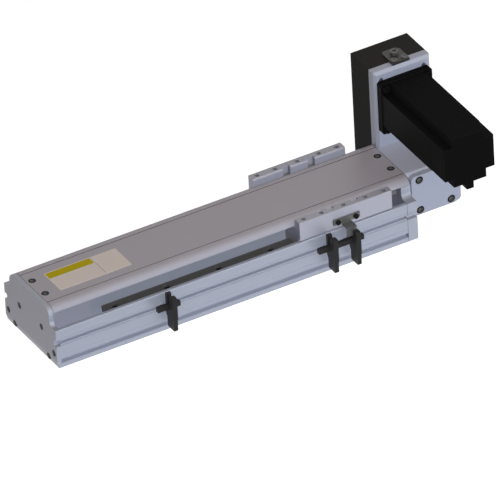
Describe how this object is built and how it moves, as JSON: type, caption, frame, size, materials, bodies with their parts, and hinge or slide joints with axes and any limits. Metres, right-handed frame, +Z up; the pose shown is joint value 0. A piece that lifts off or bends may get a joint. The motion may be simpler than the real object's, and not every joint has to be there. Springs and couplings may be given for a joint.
{
  "type": "belt driven linear actuator",
  "caption": "Belt driven linear actuator: covered aluminium body with a sliding carriage, slot sensors on its side and a servo motor folded over the drive end.",
  "frame": {"origin": "centre of the underside of the body, midway between the outer faces of its two ends", "axes": "+X along the travel towards the drive end, +Z up out of the cover, -Y towards the side with the sensors"},
  "size_m": [0.4841, 0.1778, 0.162],
  "materials": {
    "body_aluminium": "satin anodised",
    "end_aluminium": "satin anodised",
    "cover_aluminium": "polished anodised",
    "carriage_aluminium": "satin anodised",
    "mount_aluminium": "satin anodised",
    "rail_steel": "ground",
    "block_steel": "ground",
    "shaft_steel": "ground",
    "screw_steel": "black oxide",
    "bracket_steel": "brushed",
    "black_cover": "matte black",
    "motor_black": "matte black",
    "sensor_black": "moulded",
    "cap_plastic": "moulded",
    "belt_rubber": "cord rubber",
    "bumper_rubber": "moulded"
  },
  "bodies": {
    "frame": {"base_extrusion": "body_aluminium", "idle_end_plate": "end_aluminium", "drive_end_block": "end_aluminium", "end_screws": "screw_steel", "tension_screws": "screw_steel", "top_cover": "cover_aluminium", "cover_screws": "screw_steel", "guide_rail_near": "rail_steel", "guide_rail_far": "rail_steel", "rail_screws": "screw_steel", "idler_yoke": "carriage_aluminium", "idler_axle": "shaft_steel", "bumpers": "bumper_rubber", "drive_housing": "mount_aluminium", "bearing_side_plate": "mount_aluminium", "side_plate_bolts": "screw_steel", "motor_mount_plate": "mount_aluminium", "mount_plate_screws": "screw_steel", "belt_cover": "black_cover", "belt_cover_screws": "screw_steel", "tension_bracket": "bracket_steel", "tension_bracket_screws": "shaft_steel", "tension_bolt": "shaft_steel", "nut_bars": "block_steel", "motor_flange": "motor_black", "motor_body": "motor_black", "motor_rear_cover": "motor_black", "power_connector": "motor_black", "signal_connector": "motor_black", "motor_screws": "screw_steel", "sensor_idle": "sensor_black", "sensor_mid": "sensor_black", "sensor_drive": "sensor_black", "sensor_plugs": "sensor_black", "sensor_brackets": "body_aluminium", "slot_nuts": "block_steel", "sensor_screws": "screw_steel", "drive_bearings": "shaft_steel", "main_belt": "belt_rubber", "reduction_belt": "belt_rubber"},
    "carriage": {"carriage_saddle": "carriage_aluminium", "carriage_ear_near": "carriage_aluminium", "carriage_ear_far": "carriage_aluminium", "ear_screws": "shaft_steel", "guide_blocks": "block_steel", "block_end_caps": "cap_plastic", "block_screws": "screw_steel", "belt_clamp": "carriage_aluminium", "clamp_screws": "screw_steel", "clamp_jaw": "carriage_aluminium", "sensor_flag": "bracket_steel", "flag_screws": "screw_steel"},
    "drive_train": {"drive_shaft": "shaft_steel", "drive_pulley": "shaft_steel", "driven_pulley": "shaft_steel"},
    "idler": {"idler_pulley": "shaft_steel", "idler_bearings": "shaft_steel"},
    "rotor": {"motor_shaft": "shaft_steel", "motor_pulley": "shaft_steel"}
  },
  "joints": [
    {"name": "carriage_slide", "type": "slide", "parent": "frame", "child": "carriage", "axis": [1, 0, 0], "range_m": [-0.209, 0.008]},
    {"name": "drive_spin", "type": "hinge", "parent": "frame", "child": "drive_train", "pos_m": [0.2395, 0, 0.0388], "axis": [0, 1, 0], "range_deg": [-756, 30]},
    {"name": "idler_spin", "type": "hinge", "parent": "frame", "child": "idler", "pos_m": [-0.1755, 0, 0.0388], "axis": [0, 1, 0], "range_deg": [-756, 30]},
    {"name": "motor_spin", "type": "hinge", "parent": "frame", "child": "rotor", "pos_m": [0.242, 0, 0.1147], "axis": [0, 1, 0], "range_deg": [-1060, 41]}
  ],
  "couplings": [
    {"joint": "drive_spin", "follows": "carriage_slide", "rad_per_m": 62.832},
    {"joint": "idler_spin", "follows": "carriage_slide", "rad_per_m": 62.832},
    {"joint": "motor_spin", "follows": "carriage_slide", "rad_per_m": 87.965}
  ]
}
